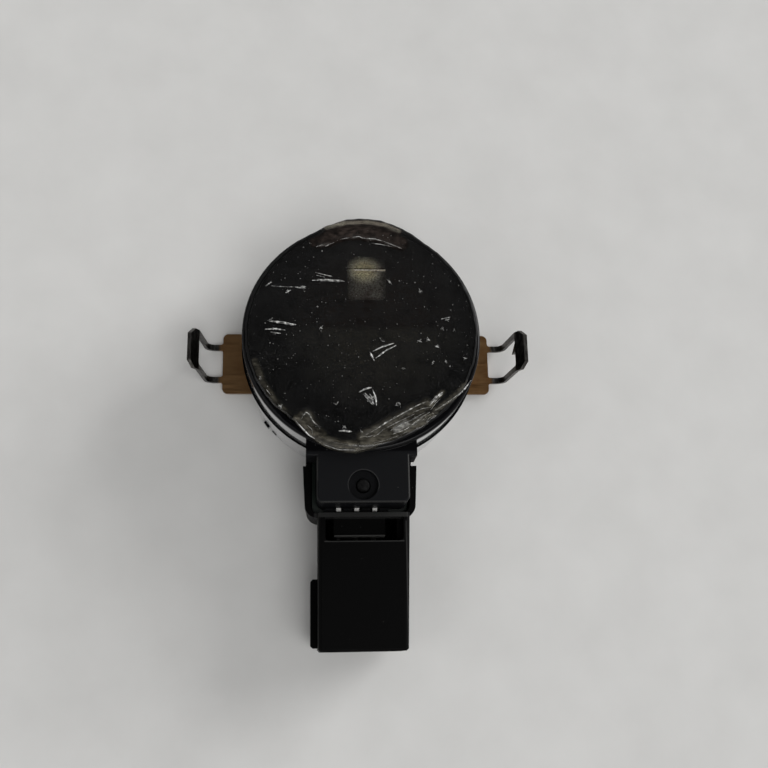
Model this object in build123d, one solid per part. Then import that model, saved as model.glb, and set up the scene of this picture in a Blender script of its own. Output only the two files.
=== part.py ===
from build123d import *
import os
from math import cos, hypot, radians, sin

# Rain and light sensor for a windscreen. It lies on its back, with the lens upwards.
# The origin is on the axis of the round head, in the plane that the back rests on.
# +Z points out through the lens and +Y points away from the connector. Sizes are in millimetres.

# Round head
cap_radius = 16.75
rim_height = 15.65
rim_round = 0.5
parting_height = 10.05
base_ledge = 0.3
base_draft = 0.55
foot_round = 0.3
shell_wall = 1.3
floor_thickness = 2.1
spigot_wall = 0.9
spigot_clearance = 0.1
foot_nub_height = 0.9
foot_nubs = ((215, 1.1, 0.35), (221, 0.9, 0.15))

# Lens plate, light window and gel pad
lens_thickness = 2.2
lens_clearance = 0.1
lens_seat_width = 1.2
cap_lip = 0.9
shelf_thickness = 1.0
dome_radius = 2.1
dome_height = 1.1
window_x = 0.7
window_y = 8.2
window_width = 5.4
window_length = 6.6
window_corner = 0.7
window_clearance = 0.05
window_foot_width = 2.8
window_foot_length = 3.2
window_groove_offset = 1.5
window_groove = 0.2
gel_inset = 0.55
gel_thickness = 0.9
gel_bevel = 0.3

# Neck
neck_x = -0.2
cover_shift = 0.2
cover_step = 0.75
cover_top = 1.5
cover_wall = 1.2
cover_side_gap = 0.6
cover_end_gap = 0.8
cover_corner = 1.0
shoulder_half_width = 7.6
shoulder_reach = 0.45
neck_edge_round = 0.25
recess_radius = 2.05
recess_depth = 1.1
recess_reach = 4.45
tub_half_width = 7.65
tub_reach = 8.25
tub_wall = 0.6
tub_side_wall = 0.75
tub_corner = 1.8
tub_set_back = 0.4
board_ledge = 0.3
rim_reach = 0.95
rim_splay = 0.35
rim_depth = 1.5
rim_overhang = 0.15
relief_width = 1.2
relief_depth = 0.45
comb_height = 1.0
comb_end_gap = 0.3
comb_gap = 0.1

# Connector shroud
shroud_root_x = 0.25
shroud_root_width = 12.7
shroud_x = -0.03
shroud_width = 12.15
shroud_bottom = 1.6
shroud_top = 11.2
shroud_length = 17.9
shroud_wall = 1.1
shroud_corner = 0.55
socket_corner = 0.6
socket_mouth = 0.4
latch_window_x = 0.27
latch_window_width = 10.8
latch_window_length = 3.3
latch_window_corner = 0.6
pin_block_x = -0.31
pin_block_width = 7.2
pin_block_length = 2.4
pin_block_height = 8.9
pin_block_bevel = 0.3
key_rib_reach = 1.0
key_rib_length = 9.9
key_rib_bottom = 2.4
key_rib_height = 3.4

# Contact pins
pin_count = 3
pin_pitch = 2.54
pin_size = 0.64
pin_x = -0.69
pin_riser_inset = 1.3
pin_level = 6.0
pin_free_length = 8.4
pin_stand = 1.3
pin_bend = 0.5
pin_taper = 0.9
pin_tip = 0.3
pin_clearance = 0.04

# Circuit board and its seats
board_bottom = 7.1
board_thickness = 1.2
board_clearance = 0.2
board_hole_clearance = 0.1
pin_hole_clearance = 0.02
post_radius = 1.5
peg_radius = 0.8
peg_stand = 0.7
support_ring_inset = 3.45
support_angles = (40, 140, 220, 320)
peg_angles = (140, 320)
stake_radius = 0.92
stake_drop = 0.35

# Light shield and the light parts
shield_clearance = 3.35
shield_plate = 1.1
shield_gap = 0.3
well_clearance = 0.15
well_top = 2.5
well_wall = 0.7
emitter_x = 7.8
emitter_y = 4.6
receiver_x = 7.5
receiver_y = -5.2
emitter_size = (2.4, 2.0, 0.8)
emitter_dome = 0.75
receiver_size = (2.7, 2.3, 1.1)
receiver_window = 1.5
receiver_window_depth = 0.15
light_sensor_size = (2.2, 2.0, 0.75)
light_sensor_edge = 0.15

# Spring strap
strap_thickness = 0.45
strap_width = 9.45
strap_overhang = 3.7
strap_corner = 0.8
strap_lift = 0.4
strap_clearance = 0.12
arm_half_span = 3.0
arm_width = 0.88
arm_reach = 2.35
arm_bend = 1.15
arm_lean = 6.0
arm_top = 7.8
loop_top = 9.6
loop_flare = 30.0
loop_corner = 0.95
loop_root_round = 0.35
barb_width = 1.3
barb_height = 1.6
barb_root = 0.1
stud_x = 9.0
stud_radius = 1.0
stud_clearance = 0.08
stud_head_radius = 1.7
stud_head_clearance = 0.05

# Chip, regulator and small parts under the board, as width, length and height
chip_size = (5.0, 4.4, 1.0)
chip_leads = 7
chip_pitch = 0.65
chip_place = (-0.6, 1.4)
lead_width = 0.25
lead_thickness = 0.2
lead_reach = 0.9
chip_edge = 0.2
body_edge = 0.12
diode_edge = 0.3
regulator_size = (4.5, 2.5, 1.5)
regulator_place = (6.6, -2.6)
resonator_size = (3.2, 1.6, 0.9)
resonator_place = (-7.0, 2.6)
diode_size = (4.2, 2.6, 2.1)
diode_place = (-6.6, -5.4)
tantalum_size = (3.5, 2.8, 1.9)
tantalum_place = (1.2, -9.0)
ceramic_size = (2.0, 1.25, 1.25)
ceramic_places = ((5.6, 4.6), (-4.6, 7.0))

# Levels and places that follow from the sizes above
board_top = board_bottom + board_thickness
base_top_radius = cap_radius + base_ledge
base_foot_radius = base_top_radius - base_draft
board_radius = base_top_radius - shell_wall - board_clearance
spigot_bottom = board_top + comb_gap
lens_bottom = rim_height - lens_thickness
lens_seat_radius = cap_radius - cap_lip
shelf_radius = lens_seat_radius - lens_seat_width
spigot_radius = base_top_radius - shell_wall - spigot_clearance
gel_radius = cap_radius - gel_inset
support_ring_radius = cap_radius - support_ring_inset
shield_radius = board_radius - shield_clearance
strap_half_length = cap_radius + strap_overhang
strap_top = strap_lift + strap_thickness
channel_width = strap_width + 2 * strap_clearance
cover_height = rim_height - cover_step
shoulder_end = cap_radius + shoulder_reach
rim_start = cap_radius + rim_reach
recess_y = -cap_radius - recess_reach
tub_end = cap_radius + tub_reach
tub_inner_end = tub_end - tub_wall
tub_inner_half = tub_half_width - tub_side_wall
cover_x = neck_x + cover_shift
cover_half_width = tub_inner_half - cover_side_gap
cover_end = tub_inner_end - cover_end_gap
shroud_end = tub_end + shroud_length
pin_riser_y = pin_riser_inset - tub_end
shroud_height = shroud_top - shroud_bottom
socket_width = shroud_width - 2 * shroud_wall
socket_height = shroud_height - 2 * shroud_wall
pin_block_end = tub_end + pin_block_length
pin_hole_radius = hypot(pin_size, pin_size) / 2 + pin_hole_clearance
well_bottom = hypot(receiver_size[0], receiver_size[1]) / 2 + well_clearance
pin_places = [pin_x + (i - (pin_count - 1) / 2) * pin_pitch for i in range(pin_count)]
emitter_places = [(-emitter_x, emitter_y), (emitter_x, emitter_y)]
receiver_places = [(-receiver_x, receiver_y), (receiver_x, receiver_y)]
light_places = emitter_places + receiver_places


def block(low, high):
    """A box between two corners."""
    size = [b - a for a, b in zip(low, high)]
    middle = [(a + b) / 2 for a, b in zip(low, high)]
    return Pos(*middle) * Box(*size)


def turned(points, rounds=()):
    """A solid turned about Z from a closed outline of radius and height, some corners rounded."""
    outline = make_face(Polyline(*points, close=True))
    for corner, radius in rounds:
        nearest = outline.vertices().sort_by_distance((*corner, 0))[0]
        outline = fillet(nearest, radius)
    return revolve(Plane.XZ * outline, Axis.Z)


def prism(points, bottom, top, rounds=()):
    """An upright prism on a closed plan outline, some corners rounded."""
    outline = make_face(Polyline(*points, close=True))
    for corner, radius in rounds:
        nearest = outline.vertices().sort_by_distance((*corner, 0))[0]
        outline = fillet(nearest, radius)
    return extrude(Pos(0, 0, bottom) * outline, top - bottom)


def at_angle(radius, angle):
    return radius * cos(radians(angle)), radius * sin(radians(angle))


def disc(place, bottom, radius, height):
    """An upright cylinder that stands on a level."""
    align = (Align.CENTER, Align.CENTER, Align.MIN)
    return Pos(place[0], place[1], bottom) * Cylinder(radius, height, align=align)


def neck_piece(x, half_width, start, end, bottom, top, corner=0.0, splay=0.0):
    """A prism along -Y from start to end, its far corners rounded and its near end splayed."""
    near = half_width + splay
    points = [(x - near, -start), (x - half_width, -end), (x + half_width, -end), (x + near, -start)]
    return prism(points, bottom, top, [(point, corner) for point in points[1:3]] if corner else [])


def make_gel_pad():
    top = rim_height + gel_thickness
    return turned([(0, rim_height), (gel_radius, rim_height), (gel_radius, top - gel_bevel),
                   (gel_radius - gel_bevel, top), (0, top)])


def window_shape(grow=0.0):
    """The light guide: a rounded block in the lens plate and a taper down to the light sensor."""
    foot = board_top + light_sensor_size[2] + shield_gap
    spread = 2 * grow
    head = RectangleRounded(window_width + spread, window_length + spread, window_corner + grow)
    base = RectangleRounded(window_foot_width + spread, window_foot_length + spread,
                            window_corner / 2 + grow)
    upper = extrude(Pos(0, 0, lens_bottom) * head, lens_thickness)
    lower = loft([Pos(0, 0, foot) * base, Pos(0, 0, lens_bottom) * head])
    return Pos(window_x, window_y, 0) * (upper + lower)


def make_light_window():
    groove = Pos(window_x, window_y + window_groove_offset, rim_height) * Box(
        window_width + 1, window_groove, 2 * window_groove)
    return window_shape() - groove


def make_lens_plate():
    plate = disc((0, 0), lens_bottom, lens_seat_radius - lens_clearance, lens_thickness)
    ball = (dome_radius**2 + dome_height**2) / (2 * dome_height)
    cutter = block((-cap_radius, -cap_radius, 0), (cap_radius, cap_radius, lens_bottom))
    for x, y in light_places:
        plate += (Pos(x, y, lens_bottom - dome_height + ball) * Sphere(ball)) & cutter
    return plate - window_shape(window_clearance)


def make_upper_housing():
    inner = cap_radius - shell_wall
    spigot_inner = spigot_radius - spigot_wall
    shelf_bottom = lens_bottom - shelf_thickness
    head = turned(
        [
            (cap_radius, parting_height),
            (cap_radius, rim_height),
            (lens_seat_radius, rim_height),
            (lens_seat_radius, lens_bottom),
            (shelf_radius, lens_bottom),
            (shelf_radius, shelf_bottom),
            (inner, shelf_bottom - (inner - shelf_radius)),
            (inner, parting_height + spigot_wall),
            (spigot_inner, parting_height),
            (spigot_inner, spigot_bottom),
            (spigot_radius, spigot_bottom),
            (spigot_radius, parting_height),
        ],
        [((cap_radius, rim_height), rim_round)],
    )

    # The neck cover is a wide shoulder against the head and a narrower hood that reaches into the tub.
    inside = cap_radius - 2 * shell_wall
    start = inside / 2
    shoulder = neck_piece(neck_x, shoulder_half_width, start, shoulder_end, parting_height, cover_height)
    hood = neck_piece(cover_x, cover_half_width, start, cover_end, spigot_bottom, cover_height, cover_corner)
    top_edges = (shoulder + hood).faces().sort_by(Axis.Z)[-1].outer_wire().edges()
    cover = fillet(top_edges.filter_by(lambda e: e.center().Y < -inside), neck_edge_round)
    hollow = neck_piece(cover_x, cover_half_width - cover_wall, start, cover_end - cover_wall,
                        spigot_bottom, cover_height - cover_top)
    head_space = Cylinder(cap_radius - shell_wall / 2, 4 * rim_height)
    cover = cover - hollow - head_space

    # A round recess with a hole lets the stake post through, on a pad that keeps the floor thick.
    place = (0, recess_y)
    recess_floor = cover_height - recess_depth
    cover += disc(place, recess_floor - cover_top, recess_radius + cover_wall / 2, cover_top)
    cover -= disc(place, recess_floor, recess_radius, 2 * recess_depth)
    cover -= disc(place, recess_floor - 2 * cover_top, stake_radius + board_hole_clearance, 4 * cover_top)

    # Teeth at the foot of the hood hold the board down between the pins.
    for x in [pin_x + (i - pin_count / 2) * pin_pitch for i in range(pin_count + 1)]:
        cover += block((x - pin_size, comb_end_gap - tub_inner_end, spigot_bottom),
                       (x + pin_size, -cover_end + cover_wall / 2, spigot_bottom + comb_height))
    slot_top = board_top + pin_stand + pin_clearance + comb_gap
    for x in pin_places:
        cover -= block((x - pin_size, pin_riser_y - pin_size, 0),
                       (x + pin_size, pin_riser_y + pin_size, slot_top))
    return head + cover


def shroud_section(y, x, width, height, corner):
    """A rounded rectangle across the shroud at one place along it."""
    middle = (shroud_bottom + shroud_top) / 2
    return Plane((x, y, middle), x_dir=(1, 0, 0), z_dir=(0, -1, 0)) * RectangleRounded(width, height, corner)


def make_shroud():
    outer = loft([
        shroud_section(-tub_inner_end, shroud_root_x, shroud_root_width, shroud_height, shroud_corner),
        shroud_section(-shroud_end, shroud_x, shroud_width, shroud_height, shroud_corner),
    ])
    mouth_edges = outer.faces().sort_by(Axis.Y)[0].outer_wire().edges()
    outer = chamfer(mouth_edges, shroud_corner / 2)
    rib_x = shroud_x - shroud_width / 2 - key_rib_reach
    rib = block((rib_x, -shroud_end + shroud_corner, key_rib_bottom),
                (shroud_x, -shroud_end + key_rib_length, key_rib_bottom + key_rib_height))
    rib = chamfer(rib.edges().filter_by(Axis.Z).group_by(Axis.X)[0], key_rib_reach / 3)

    depth = shroud_end - tub_end + 1
    socket = extrude(shroud_section(-tub_end, shroud_x, socket_width, socket_height, socket_corner), depth)
    flare = 4 * socket_mouth
    mouth = loft([
        shroud_section(socket_mouth - shroud_end, shroud_x, socket_width, socket_height, socket_corner),
        shroud_section(-socket_mouth - shroud_end, shroud_x, socket_width + flare, socket_height + flare,
                       socket_corner),
    ])
    window = neck_piece(latch_window_x, latch_window_width / 2, tub_end, tub_end + latch_window_length,
                        shroud_top - 2 * shroud_wall, shroud_top + 1, latch_window_corner)
    pin_block = block((pin_block_x - pin_block_width / 2, -pin_block_end, shroud_bottom + shroud_wall / 2),
                      (pin_block_x + pin_block_width / 2, -tub_end + tub_wall / 2, pin_block_height))
    front_edges = pin_block.edges().filter_by(Axis.X).group_by(Axis.Y)[0]
    pin_block = chamfer(front_edges.sort_by(Axis.Z)[-1], pin_block_bevel)
    return outer + rib - socket - mouth - window + pin_block


def make_base_body():
    """The round base with its ledge, the tub behind the neck and the tub's rim, still solid."""
    head = turned(
        [(0, 0), (base_foot_radius, 0), (base_top_radius, parting_height), (0, parting_height)],
        [((base_foot_radius, 0), foot_round)],
    )
    tub = neck_piece(neck_x, tub_half_width - rim_overhang, 0, tub_end - tub_set_back, 0, parting_height,
                     tub_corner)
    rim = neck_piece(neck_x, tub_half_width, rim_start, tub_end, parting_height - rim_depth, parting_height,
                     tub_corner, rim_splay)
    shoulder = neck_piece(neck_x, shoulder_half_width, 0, shoulder_end, 0, parting_height)
    relief = block((neck_x + tub_half_width - relief_depth, -rim_start, -1),
                   (2 * tub_half_width, -rim_start + relief_width, parting_height + 1))
    return head + tub + rim + shoulder - relief


def make_lower_housing():
    # The space inside is the round head's bowl and the tub, open to each other. The board lies on a ledge.
    bowl_radius = base_top_radius - shell_wall
    bowl_foot = base_foot_radius - shell_wall
    bowl = turned([(0, floor_thickness), (bowl_foot, floor_thickness),
                   (bowl_radius, board_bottom - shell_wall), (bowl_radius, 2 * parting_height),
                   (0, 2 * parting_height)])
    upper_space = neck_piece(neck_x, tub_inner_half, 0, tub_inner_end, board_bottom, 2 * parting_height,
                             tub_corner - tub_wall)
    lower_space = neck_piece(neck_x, tub_inner_half - board_ledge, 0, tub_inner_end - board_ledge,
                             floor_thickness, board_bottom, tub_corner - tub_wall)
    body = make_base_body() + make_shroud() - bowl - upper_space - lower_space

    # Posts carry the board, pegs locate it and a long stake post holds the cover.
    for angle in support_angles:
        place = at_angle(support_ring_radius, angle)
        body += disc(place, floor_thickness, post_radius, board_bottom - floor_thickness)
        if angle in peg_angles:
            body += disc(place, board_bottom, peg_radius, board_thickness + peg_stand)
    stake_top = cover_height - stake_drop
    stake = turned([(0, floor_thickness), (post_radius, floor_thickness), (post_radius, board_bottom),
                    (stake_radius, board_bottom), (stake_radius, stake_top), (0, stake_top)],
                   [((stake_radius, stake_top), stake_radius / 2)])
    body += Pos(0, recess_y, 0) * stake

    # The strap lies in a channel across the back, on two studs with flat heads.
    body -= block((-2 * cap_radius, -channel_width / 2, -1), (2 * cap_radius, channel_width / 2, strap_top))
    for x in (-stud_x, stud_x):
        body += disc((x, 0), stud_head_clearance, stud_radius, floor_thickness / 2 + strap_top)
        body += disc((x, 0), stud_head_clearance, stud_head_radius, strap_lift - stud_head_clearance)

    # Two moulding nubs stand out at the foot.
    for angle, width, reach in foot_nubs:
        nub = block((base_foot_radius - shell_wall, -width / 2, 0),
                    (base_foot_radius + reach, width / 2, foot_nub_height))
        body += Rot(0, 0, angle) * nub

    half = pin_size / 2 + pin_clearance
    for x in pin_places:
        body -= block((x - half, -pin_block_end - 1, pin_level - half),
                      (x + half, -tub_inner_end + 1, pin_level + half))
    return body


def make_contact_pin(x):
    """A square pin from its tip in the socket, through the block, bent up through the board."""
    tip_y = -pin_block_end - pin_free_length
    end_z = board_top + pin_stand
    neck = tip_y + pin_taper
    path = FilletPolyline((x, neck, pin_level), (x, pin_riser_y, pin_level), (x, pin_riser_y, end_z),
                          radius=pin_bend)
    across = Plane((x, neck, pin_level), x_dir=(1, 0, 0), z_dir=(0, 1, 0))
    at_tip = Plane((x, tip_y, pin_level), x_dir=(1, 0, 0), z_dir=(0, 1, 0))
    pin = sweep(across * Rectangle(pin_size, pin_size), path=path)
    point = loft([across * Rectangle(pin_size, pin_size), at_tip * Rectangle(pin_tip, pin_tip)])
    return pin + point


def make_circuit_board():
    half = tub_inner_half - board_clearance
    end = tub_inner_end - board_clearance / 2
    board = disc((0, 0), board_bottom, board_radius, board_thickness)
    board += neck_piece(neck_x, half, 0, end, board_bottom, board_top, tub_corner - tub_wall)
    holes = [(x, pin_riser_y, pin_hole_radius) for x in pin_places]
    holes.append((0, recess_y, stake_radius + board_hole_clearance))
    for angle in peg_angles:
        x, y = at_angle(support_ring_radius, angle)
        holes.append((x, y, peg_radius + board_hole_clearance))
    for x, y, radius in holes:
        board -= Pos(x, y, board_bottom) * Cylinder(radius, 4 * board_thickness)
    return board


def make_light_shield():
    """A black carrier on the board, with a flared well round each light part."""
    top = lens_bottom - shield_gap
    height = top - board_top
    shield = disc((0, 0), top - shield_plate, shield_radius, shield_plate)
    for place in light_places:
        shield += disc(place, board_top, well_top + well_wall, height)
    for x, y in light_places:
        well = turned([(0, board_top - 1), (well_bottom, board_top - 1),
                       (well_bottom, board_top + height / 2), (well_top, top + 1), (0, top + 1)])
        shield -= Pos(x, y, 0) * well
    return shield - window_shape(shield_gap)


def on_board(place, size):
    """A block that stands on top of the board."""
    width, length, height = size
    x, y = place
    return block((x - width / 2, y - length / 2, board_top),
                 (x + width / 2, y + length / 2, board_top + height))


def make_emitter(place):
    dome = Pos(place[0], place[1], board_top + emitter_size[2]) * Sphere(emitter_dome)
    return on_board(place, emitter_size) + dome


def make_receiver(place):
    top = board_top + receiver_size[2]
    window = Box(receiver_window, receiver_window, 2 * receiver_window_depth)
    return on_board(place, receiver_size) - Pos(place[0], place[1], top) * window


def make_ambient_light_sensor():
    body = on_board((window_x, window_y), light_sensor_size)
    return chamfer(body.faces().sort_by(Axis.Z)[-1].edges(), light_sensor_edge)


def under_board(place, size, edge):
    """A small part under the board: a block with its lower edges broken."""
    width, length, height = size
    x, y = place
    body = block((x - width / 2, y - length / 2, board_bottom - height),
                 (x + width / 2, y + length / 2, board_bottom))
    return chamfer(body.faces().sort_by(Axis.Z)[0].edges(), edge)


def make_control_chip():
    width, length, height = chip_size
    x, y = chip_place
    stand = lead_thickness / 2
    chip = Pos(0, 0, -stand) * under_board(chip_place, (width, length, height - stand), chip_edge)
    level = board_bottom - height / 2
    seat = board_bottom - lead_thickness / 2
    for side in (-1, 1):
        root = side * (length / 2 - lead_reach / 4)
        foot = side * (length / 2 + lead_reach)
        knee = side * (length / 2 + lead_reach / 2)
        line = Polyline((root, level), (knee, level), (knee, seat), (foot, seat))
        profile = make_face(offset(line, lead_thickness / 2, kind=Kind.INTERSECTION).wires()[0])
        for i in range(chip_leads):
            across = x + (i - (chip_leads - 1) / 2) * chip_pitch
            chip += Pos(across - lead_width / 2, y, 0) * extrude(Plane.YZ * profile, lead_width)
    return chip


def sheet_path():
    """Middle line of half the strap, from its centre out to the top of the loop, as x and z."""
    level = strap_lift + strap_thickness / 2
    lean = radians(arm_lean)
    flare = radians(loop_flare)
    corner_x = strap_half_length + arm_reach
    rise = arm_top - level
    knee = (corner_x + rise * sin(lean) / cos(lean), arm_top)
    tip = (knee[0] + (loop_top - arm_top) * sin(flare) / cos(flare), loop_top)
    return (0, level), (corner_x, level), knee, tip


def make_strap_blank():
    """Plan of half the strap, as tall as the loop: a plate with rounded corners and a narrower tongue."""
    corners = [((strap_half_length, side * strap_width / 2), strap_corner) for side in (-1, 1)]
    plate = prism([(-1, -strap_width / 2), (strap_half_length, -strap_width / 2),
                   (strap_half_length, strap_width / 2), (-1, strap_width / 2)], -1, 2, corners)
    tongue = block((strap_half_length - strap_corner, -arm_half_span, -1),
                   (2 * strap_half_length, arm_half_span, 2 * loop_top))

    def is_root(edge):
        middle = edge.center()
        return abs(middle.X - strap_half_length) < 0.01 and abs(abs(middle.Y) - arm_half_span) < 0.01

    blank = plate + tongue
    return fillet(blank.edges().filter_by(Axis.Z).filter_by(is_root), loop_root_round)


def make_spring_strap():
    origin, corner, knee, tip = sheet_path()
    flare = radians(loop_flare)
    past = (tip[0] + strap_thickness * sin(flare), tip[1] + strap_thickness * cos(flare))
    bends = [arm_bend + strap_thickness / 2, 2 * strap_thickness]
    line = FilletPolyline(origin, corner, knee, past, radius=bends)
    half = make_face(offset(line, strap_thickness / 2, kind=Kind.INTERSECTION).wires()[0])
    sheet = extrude(Plane.XZ * half, strap_width / 2, both=True)
    sheet -= block((-cap_radius, -strap_width, -1), (0, strap_width, loop_top))
    sheet -= block((0, -strap_width, loop_top), (2 * strap_half_length, strap_width, 2 * loop_top))
    sheet = sheet & make_strap_blank()

    # The loop's top corners are cut off.
    end_view = Plane((0, 0, 0), x_dir=(0, 1, 0), z_dir=(1, 0, 0))
    for side in (-1, 1):
        inner = side * (arm_half_span - loop_corner)
        edge = side * arm_half_span
        outer = side * 2 * arm_half_span
        low = loop_top - loop_corner
        cut = make_face(Polyline((inner, loop_top), (outer, loop_top), (outer, low - arm_half_span),
                                 (edge, low), close=True))
        sheet -= extrude(end_view * cut, 2 * strap_half_length)

    # The opening of the loop starts in the plate's edge and ends under the top bar.
    gap = arm_half_span - arm_width
    foot = block((strap_half_length, -gap, -1), (corner[0] + strap_thickness, gap, arm_bend + strap_top))
    foot = fillet(foot.edges().filter_by(Axis.Z).group_by(Axis.X)[0], loop_root_round)
    opening = make_face(Polyline((-gap, arm_bend), (gap, arm_bend), (gap, arm_top), (-gap, arm_top),
                                 close=True))
    upper = [v for v in opening.vertices() if v.Y > arm_bend + 1]
    opening = fillet(upper, loop_root_round)
    window = Pos(corner[0] - arm_bend, 0, 0) * extrude(end_view * opening, strap_half_length)
    sheet = sheet - foot - disc((stud_x, 0), 0, stud_radius + stud_clearance, 2 * strap_top)

    # One loop has a pointed barb that hangs from the middle of its top bar.
    into_bar = arm_top + barb_root
    barb = make_face(Polyline((0, arm_top - barb_height), (barb_width, arm_top), (barb_width, into_bar),
                              (0, into_bar), close=True))
    barbed = sheet - (window - extrude(end_view * barb, 2 * strap_half_length))
    return barbed + mirror(sheet - window, Plane.YZ)


def save(name, shape):
    export_step(shape, os.path.join("parts", name + ".step"))


os.makedirs("parts", exist_ok=True)
save("gel_pad", make_gel_pad())
save("lens_plate", make_lens_plate())
save("light_window", make_light_window())
save("upper_housing", make_upper_housing())
save("lower_housing", make_lower_housing())
save("spring_strap", make_spring_strap())
save("circuit_board", make_circuit_board())
save("light_shield", make_light_shield())
save("ambient_light_sensor", make_ambient_light_sensor())
save("control_chip", make_control_chip())
save("voltage_regulator", under_board(regulator_place, regulator_size, body_edge))
save("clock_resonator", under_board(resonator_place, resonator_size, body_edge))
save("protection_diode", under_board(diode_place, diode_size, diode_edge))
save("filter_capacitor_1", under_board(tantalum_place, tantalum_size, body_edge))
for number, place in enumerate(ceramic_places, start=2):
    save(f"filter_capacitor_{number}", under_board(place, ceramic_size, body_edge))
for number, place in enumerate(emitter_places, start=1):
    save(f"infrared_emitter_{number}", make_emitter(place))
for number, place in enumerate(receiver_places, start=1):
    save(f"infrared_receiver_{number}", make_receiver(place))
for number, x in enumerate(pin_places, start=1):
    save(f"contact_pin_{number}", make_contact_pin(x))
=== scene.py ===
import math
import random

import bpy
import numpy as np
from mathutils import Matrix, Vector


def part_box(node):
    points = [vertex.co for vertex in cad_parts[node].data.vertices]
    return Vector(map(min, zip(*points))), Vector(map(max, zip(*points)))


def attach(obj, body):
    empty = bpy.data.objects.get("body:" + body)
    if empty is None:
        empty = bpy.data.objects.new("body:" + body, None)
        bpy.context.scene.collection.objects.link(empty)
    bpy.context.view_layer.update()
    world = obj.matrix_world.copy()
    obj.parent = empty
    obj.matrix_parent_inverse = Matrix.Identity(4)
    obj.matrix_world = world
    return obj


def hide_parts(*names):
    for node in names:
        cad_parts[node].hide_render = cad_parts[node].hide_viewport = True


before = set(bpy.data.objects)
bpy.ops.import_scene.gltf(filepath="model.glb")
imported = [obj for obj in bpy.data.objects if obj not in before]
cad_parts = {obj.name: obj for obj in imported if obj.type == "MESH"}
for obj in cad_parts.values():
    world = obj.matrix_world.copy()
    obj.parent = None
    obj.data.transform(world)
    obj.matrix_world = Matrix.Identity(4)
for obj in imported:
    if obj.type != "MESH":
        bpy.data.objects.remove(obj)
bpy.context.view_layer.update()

# Lengths are in millimetres, angles in degrees and colours linear unless a comment says otherwise.
# MM turns millimetres into metres.
MM = 0.001

# Camera, as fitted to the rim, the base and the shroud in the photograph
CAMERA_PLACE = (-8.056, -44.343, 148.483)
CAMERA_TURN = (15.622, -4.446, -1.044)
CAMERA_LENS = 46.875
CAMERA_SENSOR = 36.0
CAMERA_NEAR = 5.0
CAMERA_FAR = 20000.0

# Light: broad suns given by compass angle from +X, elevation, strength and spread
SUNS = (
    ("low_window", 28.0, 18.0, 2.6, 38.0),
    ("side_lamp", 200.0, 45.0, 0.22, 36.0),
    ("high_lamp", 300.0, 62.0, 1.16, 38.0),
)

# Sky: an even light, and a pale backdrop that shows to the camera, in metal and through glass. Both are
# dark straight above, as if the photographer leaned over, which is a guess that fits the dark gel. Each
# edge holds the sine of the elevation at which it is darkest, and of the one at which it is full.
SKY_WHITE = (1.0, 1.0, 1.0)
SKY_LIGHT = 0.32
SKY_EDGE = (0.985, 0.75)
BACKDROP = (0.80, 0.80, 0.79)
BACKDROP_LIGHT = 1.0
BACKDROP_EDGE = (0.985, 0.3)
OVERHEAD_LIGHT = 0.02

# Table: its side and its two tones
TABLE_SIZE = 16000.0
TABLE_DARK = (0.635, 0.63, 0.615)
TABLE_PALE = (0.675, 0.67, 0.655)

# Heights and radius of the head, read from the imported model
gel_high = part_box("gel_pad")[1]
rim_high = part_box("upper_housing")[1]
LENS_LEVEL = rim_high.z / MM
GEL_TOP = gel_high.z / MM
RIM_RADIUS = rim_high.x / MM

# Places where a finish, painted light or painted shade changes, and how softly
RIM_TURN = LENS_LEVEL - 1.1
RIM_FADE = 0.5
NECK_START = -16.4
NECK_FADE = 0.3
PAINTED_LIGHT_EDGE = (1.0, -1.0)
LOOP_START = 20.7
LOOP_FADE = 0.5
PIN_FULL_SHADE = -26.6
PIN_NO_SHADE = -26.0
MASK_FADE = 0.04
SPECK_FADE = 0.05

# Black housings: their colours, the dust on them and the mirror of their round walls
WALL_BLACK = (0.003, 0.003, 0.0035)
COVER_BLACK = (0.0042, 0.0044, 0.0052)
COVER_DUST = (0.25, 0.25, 0.24)
COVER_MIRROR = (0.85, 0.85, 0.86)
BASE_BLACK = (0.0016, 0.0016, 0.0016)
BASE_DUST = (0.2, 0.2, 0.19)
BASE_MIRROR = (0.8, 0.8, 0.81)
MIRROR_EDGE = (0.12, 0.40)
PLASTIC_IOR = 1.5

# Stake post and the arc of the recess round it, both with a painted highlight: place, radii and levels. A
# negative inner radius makes the ring a full disc.
STAKE_PLACE = (0.0, -21.2)
STAKE_RADII = (-1.0, 0.85)
STAKE_LEVEL = (12.5, 13.0)
STAKE_HIGHLIGHT = (0.014, 0.014, 0.014)
ARC_RADII = (2.02, 2.14)
ARC_REACH = (-21.6, -19.0)
ARC_FADE = 0.6
ARC_STRENGTH = 0.7
ARC_LEVEL = (14.5, 14.8)
ARC_HIGHLIGHT = (0.03, 0.03, 0.03)

# Painted highlights on edges of the cover and of the base: ranges of x, y and z, and how light
COVER_HIGHLIGHTS = (
    ((-6.0, 6.0), (-23.6, -23.42), (14.5, 15.0), 0.022),
    ((6.1, 6.25), (-23.2, -17.0), (14.5, 15.0), 0.03),
    ((-6.3, -6.15), (-20.6, -17.4), (14.5, 15.0), 0.018),
)
BASE_HIGHLIGHTS = (
    ((-6.6, 6.3), (-25.01, -24.35), (9.0, 13.0), 0.022),
    ((-5.2, 5.7), (-28.42, -28.28), (11.0, 11.4), 0.025),
    ((-3.8, 3.3), (-27.5, -27.25), (7.0, 10.5), 0.10),
    ((5.95, 6.1), (-42.9, -25.6), (10.6, 11.4), 0.02),
    ((-6.8, -6.2), (-23.8, -18.0), (9.8, 10.2), 0.012),
)
HIGHLIGHT_TINT = (1.0, 1.0, 0.97)
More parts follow.
